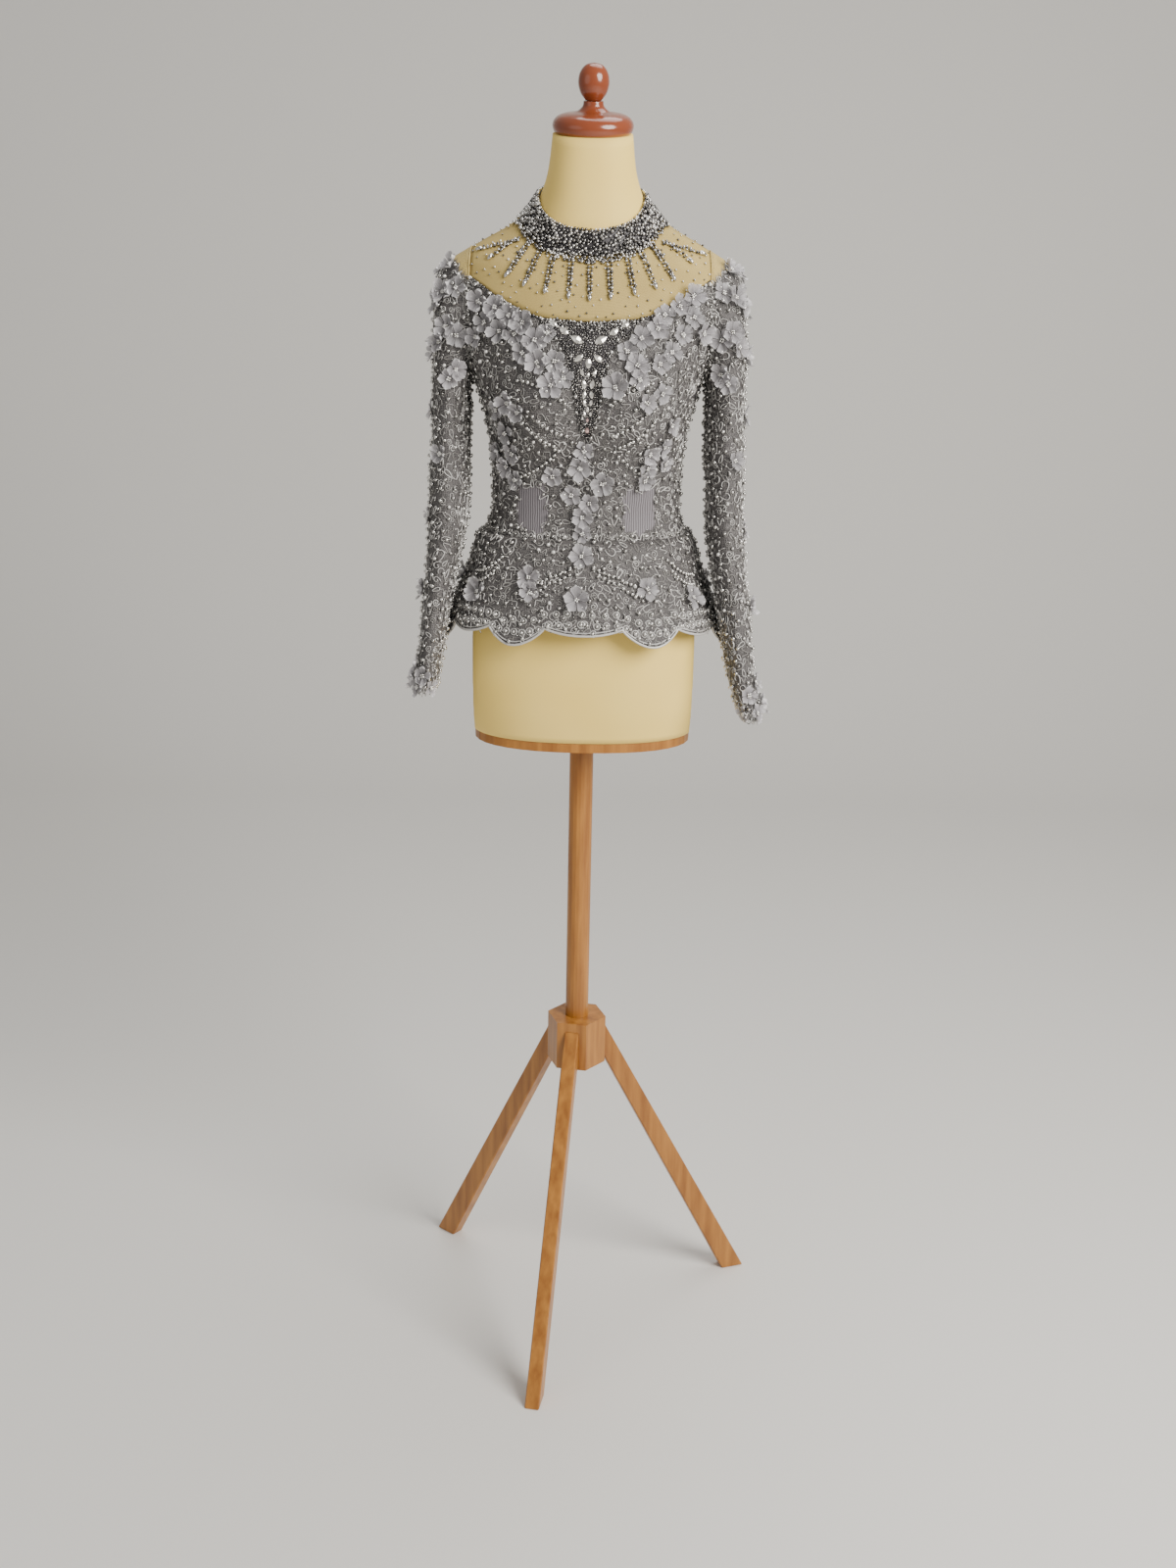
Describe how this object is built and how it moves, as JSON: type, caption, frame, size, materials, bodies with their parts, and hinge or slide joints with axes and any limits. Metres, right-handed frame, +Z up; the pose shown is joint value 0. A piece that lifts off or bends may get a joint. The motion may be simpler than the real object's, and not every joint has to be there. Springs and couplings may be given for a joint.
{
  "type": "kebaya blouse on a dress form",
  "caption": "Long-sleeved beaded lace kebaya blouse with a stand-up collar, net yoke and scalloped peplum, worn by a limbless dress form on a wooden three-legged stand.",
  "frame": {"origin": "on the floor under the middle of the whole part", "axes": "+Z up, the front faces -Y, and the wearer's left is +X"},
  "size_m": [0.4776, 0.4574, 1.7066],
  "materials": {
    "lace": "grey corded and beaded lace over a lavender-grey lining",
    "net": "fine skin-tone net lying on the form",
    "beadwork": "close silver, pearl and gunmetal beads",
    "form_cover": "smooth cream stretch cover",
    "lacquer": "glossy red-brown lacquer",
    "stand_wood": "satin orange-brown varnish"
  },
  "bodies": {
    "root": {"collar": "beadwork", "neck_pendant": "beadwork", "yoke_front": "net", "yoke_back_left": "net", "yoke_back_right": "net", "bodice_front": "lace", "bodice_back_left": "lace", "bodice_back_right": "lace", "peplum_front": "lace", "peplum_back_left": "lace", "peplum_back_right": "lace", "sleeve_left": "lace", "sleeve_right": "lace", "form_torso": "form_cover", "neck_cap": "lacquer", "cap_knob": "lacquer", "base_board": "stand_wood", "pole": "stand_wood", "hub": "stand_wood", "leg_front": "stand_wood", "leg_left": "stand_wood", "leg_right": "stand_wood"}
  },
  "joints": []
}
